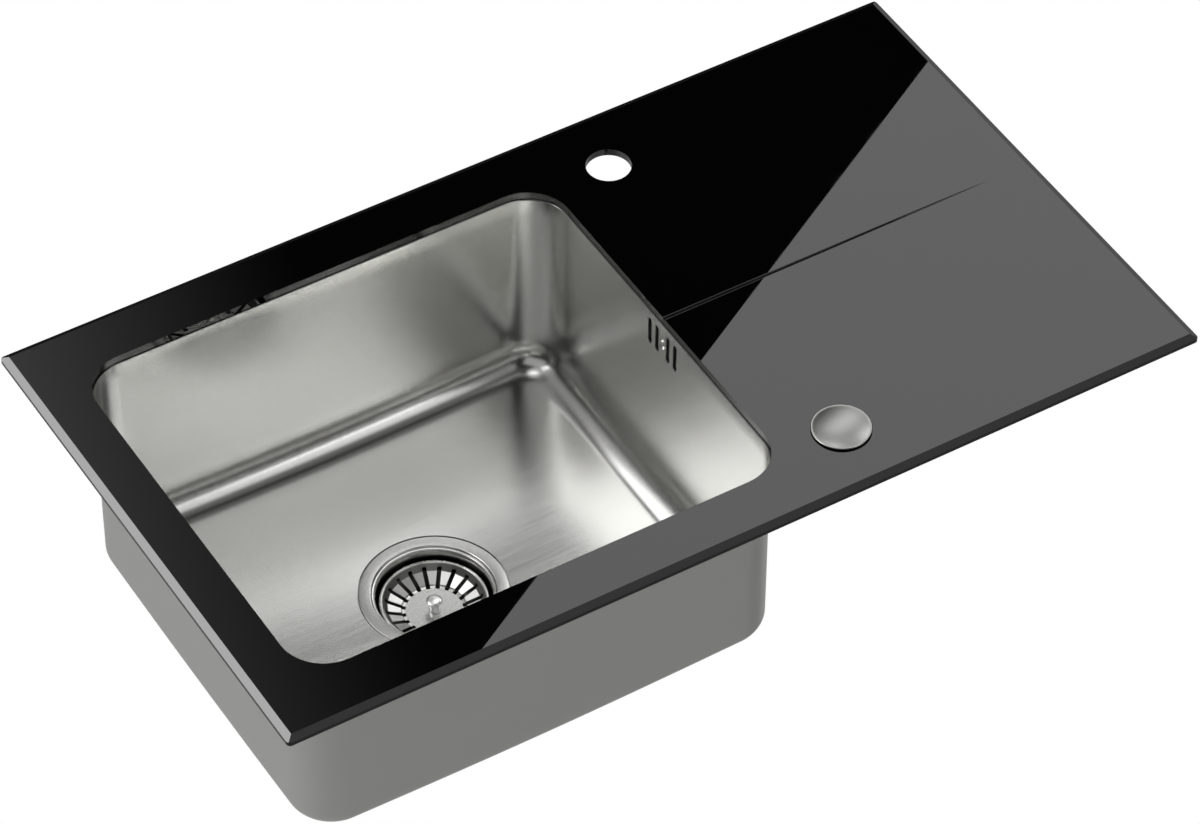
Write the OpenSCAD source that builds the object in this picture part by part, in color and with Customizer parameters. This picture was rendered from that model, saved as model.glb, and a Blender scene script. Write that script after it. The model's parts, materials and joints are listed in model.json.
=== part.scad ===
// Inset kitchen sink: a black glass top with a drainer side, a pressed steel bowl bonded under it,
// a basket strainer waste with a remote push control, and an overflow. Millimetres, +Z up.
// The origin is the centre of the tap hole, in the plane of the underside of the glass.
// +X runs to the right along the drainer and +Y runs to the wall behind the sink.

/* [Glass top] */
// Length of the glass, left to right
glass_w = 765; // [750:1:900]
// Depth of the glass, front to back
glass_d = 435; // [432:1:500]
// Thickness of the glass
glass_t = 6; // [5:0.5:8]
// Radius of the outer corners of the glass
glass_corner_r = 3.5; // [2:0.5:10]
// Width of the bevel along the top edges
bevel_w = 5.3; // [2:0.1:8]
// Drop of the bevel at the outer edge
bevel_drop = 2.8; // [1:0.1:4]
// Width of the glass strip left of the bowl
left_strip = 38.65; // [30:0.05:48]
// Width of the glass strips in front of and behind the bowl
front_strip = 45.25; // [42:0.05:60]
// Diameter of the tap hole
tap_hole_d = 35; // [32:0.5:38]
// Distance of the tap hole's centre from the back edge
tap_to_back = 55.7; // [45:0.1:70]
// Distance of the tap hole's centre from the bowl's cut-out
tap_to_bowl = 50.75; // [45:0.05:80]

/* [Drainer groove] */
// Width of the groove where it meets the bowl
groove_w = 3; // [1:0.1:6]
// Depth of the groove where it meets the bowl
groove_depth = 1.3; // [0.5:0.1:2.5]
// Distance from the groove's end to the right edge of the glass
groove_end = 39.35; // [25:0.05:140]

/* [Bowl] */
// Inside length of the bowl, left to right
bowl_w = 396; // [340:1:400]
// Depth of the bowl's floor edge below the glass underside
bowl_depth = 174.8; // [140:0.1:220]
// Thickness of the bowl's steel
sheet_t = 0.8; // [0.6:0.1:1.5]
// Inside radius of the bowl's upright corners
bowl_corner_r = 34; // [26:1:60]
// Inside radius between the walls and the floor
floor_fillet_r = 14; // [8:1:20]
// Fall of the floor to the drain
floor_fall = 5.2; // [2:0.1:8]
// Ledge of steel that shows inside the glass edge
reveal = 1; // [0.5:0.1:2]
// Width of the bowl's rim under the glass
rim_w = 14; // [10:1:20]
// Thickness of the bond between glass and rim
bond_t = 0.6; // [0.4:0.1:1.5]
// Thickness of the foam strip that meets the worktop
foam_t = 1.5; // [1:0.5:3]
// Width of the foam strip
foam_w = 8; // [5:1:12]

/* [Strainer cup] */
// Diameter of the cup's flange
flange_d = 114; // [110:1:118]
// Thickness of the cup's flange
flange_t = 1.2; // [0.8:0.1:2]
// Inside diameter of the cup's throat
throat_d = 87; // [84:1:87]
// Depth of the cup's floor below its flange
cup_depth = 31.2; // [31:0.1:34]
// Thickness of the cup's steel
cup_t = 0.8; // [0.6:0.1:1]
// Diameter of the hole in the bowl's floor
drain_hole_d = 90; // [90:0.5:92]
// Radius of the hole in the cup's floor
cup_outlet_r = 20; // [17:0.5:21]

/* [Basket] */
// Diameter of the basket's rim
basket_d = 81.6; // [78:0.1:84]
// Depth of the basket's rim below the flange
basket_drop = 9.3; // [7:0.1:11]
// Thickness of the basket's steel
basket_t = 0.8; // [0.6:0.1:1]
// Radius where the slots start
slot_start_r = 21.4; // [20:0.1:24]
// Width of the basket's rim outside the slots
basket_rim_w = 4.6; // [4.2:0.1:6]
// Width of one slot
basket_slot_w = 2.5; // [1.5:0.1:2.6]
// Number of slots
basket_slots = 20; // [12:1:24]
// Depth of the middle plate of the basket below its rim
plate_drop = 10.2; // [8:0.1:11]
// Diameter of the knob on the basket
knob_d = 12.4; // [10:0.1:16]
// Diameter of the knob's neck
knob_neck_d = 7.3; // [6:0.1:9]
// Height of the knob above the middle plate
knob_h = 12; // [9:0.5:14]

/* [Waste body] */
// Outside diameter of the outlet thread
outlet_d = 47.8; // [44:0.1:50]
// Inside diameter of the outlet
outlet_bore_d = 40; // [34:0.5:41]
// Length of the outlet thread
outlet_len = 24; // [18:1:40]
// Wall of the waste body
body_wall = 3.5; // [2.5:0.1:4]
// Thickness of the gasket between bowl and waste body
gasket_t = 3; // [2:0.5:4]
// Thickness of the seal under the cup's flange
flange_seal_t = 0.8; // [0.5:0.1:1.5]

/* [Lift gear] */
// Travel of the basket when the control opens the drain
basket_lift = 8; // [6:0.5:9]
// Travel of the push control between its two heights
control_travel = 7; // [5:0.5:7]
// Swing of the lift arm
arm_swing = 20; // [18:0.5:22]
// Diameter of the lift pin
lift_pin_d = 5; // [4:0.5:5]
// Diameter of the rocker shaft
shaft_d = 6; // [5:0.5:7]
// Gap between pieces that push on each other
touch_gap = 0.3; // [0.2:0.1:0.5]
// Running clearance on the radius
run_gap = 0.05; // [0.03:0.01:0.1]

/* [Push control] */
// Diameter of the control cap
cap_d = 45; // [42:0.5:55]
// Thickness of the control cap
cap_h = 1; // [0.8:0.1:3]
// Diameter of the hole for the control
control_hole_d = 35; // [32:0.5:38]
// Distance of the control's centre from the front edge
control_to_front = 55.7; // [45:0.1:80]
// Distance of the control's centre from the bowl's cut-out
control_to_bowl = 50.75; // [45:0.05:80]
// Outside diameter of the control sleeve
sleeve_d = 30; // [27:0.5:31]
// Reach of the sleeve below the glass
sleeve_depth = 30; // [29:0.5:34]
// Diameter of the control stem
stem_d = 10; // [8:0.5:11]
// Diameter of the pull wire
wire_d = 1.5; // [1:0.1:1.8]
// Diameter of the cable's sheath
sheath_d = 5; // [4:0.5:6]

/* [Overflow] */
// Width of one overflow slot
overflow_slot_w = 5; // [3:0.1:5.2]
// Length of one overflow slot
overflow_slot_len = 25.5; // [18:0.5:28]
// Distance of the slots' centre below the glass underside
overflow_drop = 20.3; // [18:0.1:30]
// Distance of an inner slot from the middle
inner_slot_y = 7.5; // [7.2:0.1:9]
// Distance of an outer slot from the middle
outer_slot_y = 17.4; // [14.5:0.1:20]
// Diameter of the overflow screw's head
screw_head_d = 8; // [6:0.1:9.4]
// Thickness of the overflow gasket
overflow_gasket_t = 2; // [1:0.5:3]
// Outside diameter of the hose's ribs
hose_d = 25; // [22:0.5:25]
// Inside diameter of the hose
hose_bore_d = 17; // [14:0.5:17]
// Distance from one hose rib to the next
hose_rib_pitch = 4.2; // [3.5:0.1:6]

/* [Hidden] */
$fn = 96;
big = 1000;
eps = 0.5;

// Places of the glass, the bowl and the control, from the tap hole
cutout_w = bowl_w + 2 * reveal;
cutout_d = glass_d - 2 * front_strip;
cutout_r = bowl_corner_r + reveal;
bowl_d = cutout_d - 2 * reveal;
bowl_x = -tap_to_bowl - cutout_w / 2;
glass_x0 = bowl_x - cutout_w / 2 - left_strip;
glass_x1 = glass_x0 + glass_w;
glass_y0 = tap_to_back - glass_d;
glass_cx = (glass_x0 + glass_x1) / 2;
glass_cy = glass_y0 + glass_d / 2;
bowl_y = glass_cy;
control_x = bowl_x + cutout_w / 2 + control_to_bowl;
control_y = glass_y0 + control_to_front;
groove_y = glass_cy;
groove_x0 = bowl_x + cutout_w / 2;
groove_len = glass_x1 - groove_end - groove_x0;

// Bowl levels and the faces that other pieces meet
rim_top = -bond_t;
rim_bottom = rim_top - sheet_t;
deck_z = -(bowl_depth + floor_fall);
dish_r = bowl_d / 2 - floor_fillet_r - 0.5;
flange_r = flange_d / 2;
recess_gap = 0.6;
recess_z = deck_z - flange_t - flange_seal_t;
floor_under = recess_z - sheet_t;
drain_hole_r = drain_hole_d / 2;
wall_x_in = bowl_x + bowl_w / 2;
wall_x_out = wall_x_in + sheet_t;

// Strainer cup
throat_r = throat_d / 2;
lip_r = throat_r + 3.5;
cup_floor = deck_z - cup_depth;
cup_floor_r = 34;
cup_cone_h = 9;
hub_r = 8;
hub_t = 3;
hub_bottom = cup_floor - hub_t;

// Basket: the rim, the slotted cone and the middle plate
basket_r = basket_d / 2;
slot_end_r = basket_r - basket_rim_w;
rim_z = deck_z - basket_drop;
shoulder_z = rim_z - 4;
plate_z = rim_z - plate_drop;
plate_under = plate_z - basket_t;
stopper_top_t = 2;
stopper_r = cup_outlet_r + 4;
stopper_wall = 3;
stub_r = 3;
nut_h = 4;
nut_r = 5;
nut_top = plate_under - stopper_top_t;
nut_bottom = nut_top - nut_h;

// Clamp screw and waste body
screw_head_h = 3;
screw_head_r = 7.5;
screw_r = 4.5;
screw_len = 20;
screw_bottom = cup_floor - screw_len;
body_top = floor_under - gasket_t;
body_flange_r = flange_r + 1;
body_flange_t = 5;
body_in_r = throat_r + cup_t + 2.2;
upper_bottom = cup_floor - 5;
chamber_top = upper_bottom - 8;
body_hub_top = hub_bottom - 5;
body_hub_r = 8.5;
body_hub_h = 9;
outlet_r = outlet_d / 2;
outlet_bore_r = outlet_bore_d / 2;

// Lift gear: the arm swings as far below the level as above it
pin_r = lift_pin_d / 2;
pin_top = nut_bottom - touch_gap;
pin_bottom = screw_bottom - basket_lift - 1.5;
shaft_r = shaft_d / 2;
tip_r = 3;
lift_arm_t = 6;
half_swing = arm_swing / 2;
arm_r = basket_lift / 2 / sin(half_swing);
shaft_x = bowl_x + arm_r * cos(half_swing);
arm_hub_r = shaft_r + 3;
chamber_r = shaft_x - bowl_x + arm_hub_r + 2.5;
shaft_z = pin_bottom - touch_gap - tip_r + basket_lift / 2;
chamber_bottom = shaft_z - 12;
outlet_top = chamber_bottom - 10;
outlet_bottom = outlet_top - outlet_len;
tail_cup_r = chamber_r + body_wall + run_gap;
tail_cup_h = 4;
tail_wall = 3;
boss_r = 7;
boss_y = bowl_y - body_in_r - body_wall + 1;
crank_t = 4;
crank_y = boss_y - 2 - crank_t / 2;
crank_r = control_travel / 2 / sin(half_swing);
wire_r = wire_d / 2;
wire_z = shaft_z + crank_r * (1 + cos(half_swing)) / 2;
nipple_r = 1.6;
nipple_x = shaft_x - control_travel / 2;
eye_r = nipple_r + 0.7;
stop_x = shaft_x + 28;
stop_t = 4;
ferrule_r = 4;
ferrule_len = 28;
ferrule_x0 = stop_x - 4;
ferrule_x1 = ferrule_x0 + ferrule_len;
ferrule_bore_r = wire_r + 0.25;
pull_wire_end = ferrule_x0 + ferrule_len - control_travel - 5;

// Push control, from the top down
cap_r = cap_d / 2;
seal_t = 0.3;
collar_t = 0.4;
collar_top = glass_t + seal_t + collar_t;
cap_z = collar_top + touch_gap;
collar_r = control_hole_d / 2 + 2.5;
sleeve_r = sleeve_d / 2;
sleeve_bore_r = sleeve_r - 3;
guide_len = 11;
guide_bottom = collar_top - guide_len;
sleeve_floor = -sleeve_depth;
sleeve_bottom = sleeve_floor - 3;
stem_r = stem_d / 2;
stem_collar_r = 9;
stem_collar_top = guide_bottom - control_travel - 1;
stem_collar_bottom = stem_collar_top - 3;
stem_bottom = sleeve_floor + 6;
washer_t = 2;
washer_r = sleeve_r + 8;
control_nut_h = 6;
upper_ferrule_len = 12;
upper_ferrule_bottom = sleeve_bottom - upper_ferrule_len;
spring_wire_r = 0.6;
spring_r = 7.2;
spring_turns = 7;

// Overflow
overflow_z = -overflow_drop;
slot_ys = [-outer_slot_y, -inner_slot_y, inner_slot_y, outer_slot_y];
screw_z = overflow_z;
screw_shank_r = 2;
housing_x0 = wall_x_out + overflow_gasket_t;
housing_wall = 2;
housing_w = 2 * (outer_slot_y + overflow_slot_w / 2 + 6);
housing_top = overflow_z + overflow_slot_len / 2 + 3.5;
housing_bottom = overflow_z - overflow_slot_len / 2 - 9;
hose_r = hose_d / 2;
hose_bore_r = hose_bore_d / 2;
spigot_r = hose_r;
hose_nut_r = hose_r + 4.5;
hose_nut_len = 16;
hose_x = wall_x_out + hose_nut_r + 2;
housing_x1 = hose_x + spigot_r + 1;
spigot_len = 12;
hose_top = housing_bottom - spigot_len;
inlet_drop = 25.2;
inlet_len = 37.5;
inlet_z = floor_under - inlet_drop;
hose_bend_r = 58;
hose_bend_z = inlet_z + hose_bend_r;
inlet_x0 = bowl_x + body_in_r;
hose_end_x = inlet_x0 + inlet_len;

// Route of the cable's sheath: chosen by hand, as shares of the way from the upper ferrule
// to the side of the bowl along X, and to the lower ferrule along Y and Z
side_x = wall_x_out + 14;
sheath_shares = [
  [0, 0, -0.05],
  [0, 0, 0],
  [0.02, 0.05, 0.07],
  [0.12, 0.2, 0.16],
  [0.3, 0.42, 0.26],
  [0.52, 0.66, 0.4],
  [0.76, 0.86, 0.56],
  [0.95, 0.98, 0.74],
  [1.2, 1, 0.91],
  [1.75, 1, 1]
];

// Shapes used by several pieces

module rounded_rect(w, d, r) {
  square([w - 2 * r, d], center = true);
  square([w, d - 2 * r], center = true);
  for (sx = [-1, 1], sy = [-1, 1]) {
    translate([sx * (w / 2 - r), sy * (d / 2 - r)]) circle(r = r);
  }
}

module rounded_plate(w, d, r, z0, z1) {
  translate([0, 0, z0]) linear_extrude(z1 - z0) rounded_rect(w, d, r);
}

module frame_plate(w, d, r, band, z0, z1) {
  difference() {
    rounded_plate(w, d, r, z0, z1);
    rounded_plate(w - 2 * band, d - 2 * band, max(r - band, 1), z0 - 1, z1 + 1);
  }
}

module ring(r_out, r_in, z0, z1) {
  difference() {
    translate([0, 0, z0]) cylinder(r = r_out, h = z1 - z0);
    translate([0, 0, z0 - 1]) cylinder(r = r_in, h = z1 - z0 + 2);
  }
}

// Half section of a tub wall with its floor fillet, to be revolved or extruded
module tub_section(half, fillet, top, bottom) {
  translate([0, bottom + fillet]) square([half, top - bottom - fillet]);
  translate([0, bottom]) square([half - fillet, fillet + eps]);
  translate([half - fillet, bottom + fillet]) circle(r = fillet);
}

module tub_corner(r, fillet, top, bottom) {
  rotate_extrude() intersection() {
    tub_section(r, fillet, top, bottom);
    translate([0, bottom]) square([r, top - bottom]);
  }
}

// Straight-walled tub with round upright corners and a round floor edge
module tub(w, d, r, fillet, top, bottom) {
  for (sx = [-1, 1], sy = [-1, 1]) {
    translate([sx * (w / 2 - r), sy * (d / 2 - r), 0]) tub_corner(r, fillet, top, bottom);
  }
  for (turn = [0, 180]) {
    rotate([0, 0, turn]) rotate([90, 0, 0]) linear_extrude(d - 2 * r, center = true) {
      tub_section(w / 2, fillet, top, bottom);
    }
    rotate([0, 0, 90 + turn]) rotate([90, 0, 0]) linear_extrude(w - 2 * r, center = true) {
      tub_section(d / 2, fillet, top, bottom);
    }
  }
}

module upright_slot(w, len, depth) {
  rotate([0, 90, 0]) linear_extrude(depth, center = true) {
    square([len - w, w], center = true);
    for (s = [-1, 1]) translate([s * (len - w) / 2, 0]) circle(d = w);
  }
}

// Points on a smooth line through four neighbouring points
function spline_point(a, b, c, d, t) =
  0.5 * (2 * b + (c - a) * t + (2 * a - 5 * b + 4 * c - d) * t * t
    + (3 * b - a - 3 * c + d) * t * t * t);

function spline(points, steps) = [
  for (i = [1 : len(points) - 3], k = [0 : steps - 1])
    spline_point(points[i - 1], points[i], points[i + 1], points[i + 2], k / steps),
  points[len(points) - 2]
];

function unit(v) = v / norm(v);

// Direction of a line of points at point i
function heading(line, i) =
  unit(line[min(i + 1, len(line) - 1)] - line[max(i - 1, 0)]);

// Tube along a line of points; side is a direction that the line never takes
module swept_tube(line, radii, side, sides) {
  n = len(line);
  points = [
    for (i = [0 : n - 1])
      let (t = heading(line, i), u = unit(cross(t, side)), v = cross(t, u))
      for (k = [0 : sides - 1])
        line[i] + radii[i] * (cos(360 * k / sides) * u + sin(360 * k / sides) * v)
  ];
  walls = [
    for (i = [0 : n - 2], k = [0 : sides - 1])
      let (a = i * sides + k, b = i * sides + (k + 1) % sides)
      each [[a, b + sides, b], [a, a + sides, b + sides]]
  ];
  start = [for (k = [1 : sides - 2]) [0, k, k + 1]];
  last = (n - 1) * sides;
  finish = [for (k = [1 : sides - 2]) [last, last + k + 1, last + k]];
  polyhedron(points = points, faces = concat(walls, start, finish), convexity = 8);
}

// Glass top

module bevel_cutter(run) {
  reach = 4 * bevel_w;
  rotate([0, atan2(bevel_drop, bevel_w), 0])
    translate([-reach, -run / 2, 0]) cube([2 * reach, run, reach]);
}

module glass_top() color([0.03, 0.03, 0.03]) difference() {
  translate([glass_cx, glass_cy, 0]) difference() {
    rounded_plate(glass_w, glass_d, glass_corner_r, 0, glass_t);
    for (turn = [0, 180]) rotate([0, 0, turn]) {
      translate([glass_w / 2 - bevel_w, 0, glass_t]) bevel_cutter(big);
    }
    for (turn = [90, 270]) rotate([0, 0, turn]) {
      translate([glass_d / 2 - bevel_w, 0, glass_t]) bevel_cutter(big);
    }
  }
  translate([bowl_x, bowl_y, 0]) rounded_plate(cutout_w, cutout_d, cutout_r, -1, glass_t + 1);
  translate([0, 0, -1]) cylinder(d = tap_hole_d, h = glass_t + 2);
  translate([control_x, control_y, -1]) cylinder(d = control_hole_d, h = glass_t + 2);
  drainer_groove();
}

// A round-bottomed groove that starts full at the bowl and runs out at the glass surface
module drainer_groove() {
  cutter_r = (pow(groove_w / 2, 2) + pow(groove_depth, 2)) / 2 / groove_depth;
  translate([groove_x0, groove_y, glass_t - groove_depth + cutter_r])
    rotate([0, 90 - atan2(groove_depth, groove_len), 0])
    translate([0, 0, -2 * groove_w])
    cylinder(r = cutter_r, h = groove_len + 4 * groove_w);
}

module glass_bond() color([0.12, 0.12, 0.12]) translate([bowl_x, bowl_y, 0])
  frame_plate(cutout_w + 2 * rim_w - 2, cutout_d + 2 * rim_w - 2, cutout_r + rim_w - 1,
    rim_w - 2, rim_top, 0);

module rim_seal() color([0.2, 0.2, 0.2]) translate([glass_cx, glass_cy, 0])
  frame_plate(glass_w - 2 * bevel_w - 2, glass_d - 2 * bevel_w - 2, 6, foam_w, -foam_t, 0);

// Bowl

module bowl_outside() {
  tub(bowl_w + 2 * sheet_t, bowl_d + 2 * sheet_t, bowl_corner_r + sheet_t,
    floor_fillet_r + sheet_t, rim_top, -bowl_depth - sheet_t);
  rounded_plate(cutout_w + 2 * rim_w, cutout_d + 2 * rim_w, cutout_r + rim_w, rim_bottom, rim_top);
  translate([0, 0, deck_z - sheet_t]) cylinder(r1 = flange_r, r2 = dish_r, h = floor_fall);
  translate([0, 0, floor_under]) cylinder(r = flange_r + recess_gap + sheet_t, h = floor_fall);
}

module bowl_inside() {
  tub(bowl_w, bowl_d, bowl_corner_r, floor_fillet_r, 1, -bowl_depth);
  translate([0, 0, deck_z]) cylinder(r1 = flange_r, r2 = dish_r, h = floor_fall + 0.01);
  translate([0, 0, recess_z]) cylinder(r = flange_r + recess_gap, h = floor_fall);
  translate([0, 0, floor_under - 1]) cylinder(r = drain_hole_r, h = floor_fall + 2);
}

module bowl() color([0.72, 0.72, 0.7]) difference() {
  translate([bowl_x, bowl_y, 0]) difference() {
    bowl_outside();
    bowl_inside();
  }
  for (y = slot_ys) translate([wall_x_in, bowl_y + y, overflow_z]) {
    upright_slot(overflow_slot_w, overflow_slot_len, 6);
  }
  translate([wall_x_in - 3, bowl_y, screw_z]) rotate([0, 90, 0])
    cylinder(r = screw_shank_r + 0.3, h = 6);
}

// Waste: the cup is drawn down on the waste body by a hollow screw

module at_drain() translate([bowl_x, bowl_y, 0]) children();

module strainer_cup() color([0.8, 0.8, 0.78]) at_drain() {
  difference() {
    rotate_extrude() polygon([
      [flange_r, deck_z], [lip_r, deck_z], [throat_r + 0.8, deck_z - 0.8], [throat_r, deck_z - 2],
      [throat_r, cup_floor + cup_cone_h], [cup_floor_r, cup_floor], [cup_outlet_r, cup_floor],
      [cup_outlet_r, cup_floor - cup_t], [cup_floor_r + 0.4, cup_floor - cup_t],
      [throat_r + cup_t, cup_floor + cup_cone_h - 0.3], [throat_r + cup_t, deck_z - flange_t - 0.8],
      [lip_r - 0.6, deck_z - flange_t], [flange_r, deck_z - flange_t]
    ]);
  }
  difference() {
    union() {
      translate([0, 0, hub_bottom]) cylinder(r = hub_r, h = hub_t);
      for (turn = [0, 120, 240]) rotate([0, 0, turn]) {
        translate([0, -2, hub_bottom]) cube([cup_outlet_r + 1, 4, hub_t - cup_t / 2]);
      }
    }
    translate([0, 0, hub_bottom - 1]) cylinder(r = screw_r + 0.3, h = hub_t + 2);
  }
}

module flange_seal() color([0.1, 0.1, 0.1]) at_drain()
  ring(flange_r - 1, lip_r, recess_z, recess_z + flange_seal_t);

module body_gasket() color([0.1, 0.1, 0.1]) at_drain()
  ring(flange_r, body_in_r, body_top, floor_under);

module clamp_screw() color([0.75, 0.75, 0.75]) at_drain() difference() {
  union() {
    translate([0, 0, cup_floor]) cylinder(r = screw_head_r, h = screw_head_h);
    translate([0, 0, screw_bottom]) cylinder(r = screw_r, h = screw_len + 1);
  }
  translate([0, 0, screw_bottom - 1]) cylinder(r = pin_r + run_gap, h = screw_len + screw_head_h + 2);
  translate([-screw_head_r, -1, cup_floor + screw_head_h - 1.2]) cube([2 * screw_head_r, 2, 2]);
}

module waste_shell() {
  rotate_extrude() polygon([
    [body_in_r, body_top], [body_flange_r, body_top], [body_flange_r, body_top - body_flange_t],
    [body_in_r + body_wall, body_top - body_flange_t - 3], [body_in_r + body_wall, upper_bottom],
    [chamber_r + body_wall, chamber_top], [chamber_r + body_wall, chamber_bottom],
    [chamber_r, chamber_bottom], [chamber_r, chamber_top], [body_in_r, upper_bottom]
  ]);
}

module waste_hub() {
  translate([0, 0, body_hub_top - body_hub_h]) cylinder(r = body_hub_r, h = body_hub_h);
  for (turn = [60, 180, 300]) rotate([0, 0, turn]) {
    translate([0, -1.5, body_hub_top - body_hub_h]) cube([chamber_r + 1.5, 3, body_hub_h]);
  }
}

// Arm on the waste body that stops the cable's sheath
module cable_stop() {
  arm_y = bowl_y - body_in_r + 6;
  arm_x = bowl_x + sqrt(pow(body_in_r + body_wall / 2, 2) - pow(arm_y - bowl_y, 2));
  translate([arm_x, arm_y - 4, wire_z - 6]) cube([stop_x + stop_t - arm_x, 4, 12]);
  translate([stop_x, crank_y - 8, wire_z - 8]) cube([stop_t, arm_y - crank_y + 8, 16]);
}

module waste_body() color([0.85, 0.85, 0.85]) difference() {
  union() {
    at_drain() waste_shell();
    at_drain() waste_hub();
    translate([shaft_x, boss_y, shaft_z]) rotate([-90, 0, 0]) {
      cylinder(r = boss_r, h = bowl_y - boss_y - sqrt(pow(chamber_r + 1, 2) - pow(shaft_x - bowl_x, 2)));
    }
    translate([inlet_x0 + 0.5, bowl_y, inlet_z]) rotate([0, 90, 0]) {
      cylinder(r = spigot_r, h = hose_end_x - inlet_x0 - 0.5);
    }
    cable_stop();
  }
  translate([bowl_x, bowl_y, body_hub_top - body_hub_h - 1])
    cylinder(r = screw_r + 0.05, h = body_hub_h + 2);
  translate([shaft_x, boss_y - 1, shaft_z]) rotate([-90, 0, 0]) {
    cylinder(r = shaft_r + run_gap, h = bowl_y - boss_y);
    cylinder(r = shaft_r + 2, h = 4);
  }
  translate([inlet_x0 - 6, bowl_y, inlet_z]) rotate([0, 90, 0]) cylinder(r = hose_bore_r, h = big);
  translate([stop_x - 1, crank_y, wire_z]) rotate([0, 90, 0]) cylinder(r = ferrule_r - 1, h = stop_t + 2);
}

// Tail with the outlet thread, screwed over the lower end of the waste body
module outlet_tail() color([0.85, 0.85, 0.85]) at_drain() {
  cup_r = tail_cup_r + tail_wall;
  rotate_extrude() polygon([
    [chamber_r, chamber_bottom], [tail_cup_r, chamber_bottom], [tail_cup_r, chamber_bottom + tail_cup_h],
    [cup_r, chamber_bottom + tail_cup_h], [cup_r, chamber_bottom - tail_wall],
    [outlet_r, outlet_top], [outlet_r, outlet_bottom], [outlet_bore_r, outlet_bottom],
    [outlet_bore_r, outlet_top + 1], [chamber_r, chamber_bottom - tail_wall / 2]
  ]);
  for (i = [0 : 11]) rotate([0, 0, 30 * i + 15]) {
    translate([cup_r - 1, -1.5, chamber_bottom - tail_wall + 0.5])
      cube([2, 3, tail_cup_h + tail_wall - 1]);
  }
}

// Basket with its knob, stopper and nut

module basket() color([0.85, 0.85, 0.84]) at_drain() difference() {
  rotate_extrude() polygon([
    [stub_r, plate_z], [slot_start_r - 1, plate_z], [slot_end_r, shoulder_z],
    [slot_end_r + 1.6, shoulder_z + 1], [slot_end_r + 2.6, rim_z - 1], [slot_end_r + 3.4, rim_z],
    [basket_r, rim_z], [basket_r, rim_z - basket_t], [slot_end_r + 3.8, rim_z - basket_t],
    [slot_end_r + 2.6, shoulder_z], [slot_end_r + 0.6, shoulder_z - basket_t],
    [slot_start_r - 0.6, plate_under], [stub_r, plate_under]
  ]);
  for (i = [0 : basket_slots - 1]) rotate([0, 0, 360 * i / basket_slots]) {
    translate([slot_start_r - 1.4, -basket_slot_w / 2, plate_under - 1])
      cube([slot_end_r - slot_start_r + 2.6, basket_slot_w, plate_drop + 1]);
  }
}

module basket_knob() color([0.9, 0.9, 0.9]) at_drain() {
  head_h = 3.2;
  head_z = plate_z + knob_h - head_h;
  rotate_extrude() polygon([
    [0, nut_bottom], [stub_r, nut_bottom], [stub_r, plate_z], [knob_neck_d / 2, plate_z],
    [knob_neck_d / 2, head_z], [knob_d / 2 - 0.5, head_z], [knob_d / 2, head_z + 0.5],
    [knob_d / 2, head_z + 1.8], [knob_d / 2 - 1.2, head_z + 2.8], [knob_d / 4, head_z + head_h], [0, head_z + head_h]
  ]);
}

module stopper_seal() color([0.08, 0.08, 0.08]) at_drain() rotate_extrude() polygon([
  [stub_r, nut_top], [stub_r, plate_under], [stopper_r - 3, plate_under], [stopper_r, plate_under - 3],
  [stopper_r, cup_floor + touch_gap], [stopper_r - stopper_wall, cup_floor + touch_gap],
  [stopper_r - stopper_wall, nut_top]
]);

module basket_nut() color([0.8, 0.75, 0.5]) at_drain() difference() {
  translate([0, 0, nut_bottom]) cylinder(r = nut_r, h = nut_h, $fn = 6);
  translate([0, 0, nut_bottom - 1]) cylinder(r = stub_r, h = nut_h + 2);
}

// Lift gear

module lift_pin() color([0.8, 0.8, 0.8]) at_drain()
  translate([0, 0, pin_bottom]) cylinder(r = pin_r, h = pin_top - pin_bottom);

module at_shaft(y) translate([shaft_x, y, shaft_z]) rotate([-90, 0, 0]) children();

module lift_arm() color([0.7, 0.7, 0.72]) translate([shaft_x, bowl_y + lift_arm_t / 2, shaft_z])
  rotate([90, 0, 0]) linear_extrude(lift_arm_t) rotate(half_swing) difference() {
    union() {
      circle(r = arm_hub_r);
      translate([-arm_r, 0]) circle(r = tip_r);
      translate([-arm_r, -tip_r + 0.5]) square([arm_r, 2 * tip_r - 1]);
    }
    circle(r = shaft_r);
  }

module rocker_shaft() color([0.8, 0.8, 0.8])
  at_shaft(crank_y - crank_t / 2) cylinder(r = shaft_r, h = bowl_y + 6 - crank_y + crank_t / 2);

module shaft_seal() color([0.08, 0.08, 0.08]) at_shaft(boss_y + 0.4) difference() {
  cylinder(r = shaft_r + 2, h = 2.2);
  translate([0, 0, -1]) cylinder(r = shaft_r + run_gap, h = 5);
}

module crank_arm() color([0.3, 0.3, 0.32]) translate([shaft_x, crank_y - crank_t / 2, shaft_z])
  rotate([0, -half_swing, 0]) difference() {
    union() {
      rotate([-90, 0, 0]) cylinder(r = arm_hub_r, h = crank_t);
      translate([-3.5, 0, 0]) cube([7, crank_t, crank_r]);
      translate([0, 0, crank_r]) rotate([-90, 0, 0]) cylinder(r = eye_r + 2, h = crank_t);
    }
    translate([0, -1, 0]) rotate([-90, 0, 0]) cylinder(r = shaft_r, h = crank_t + 2);
    translate([0, -1, crank_r]) rotate([-90, 0, 0]) cylinder(r = eye_r, h = crank_t + 2);
    translate([1, crank_t / 2 - 1.2, crank_r - 1.8]) cube([12, 2.4, 3.6]);
  }

module pull_wire() color([0.75, 0.75, 0.75]) {
  translate([nipple_x, crank_y - crank_t / 2, wire_z]) rotate([-90, 0, 0]) {
    cylinder(r = nipple_r, h = crank_t);
  }
  translate([nipple_x, crank_y, wire_z]) rotate([0, 90, 0]) {
    cylinder(r = wire_r, h = pull_wire_end - nipple_x);
  }
}

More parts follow.
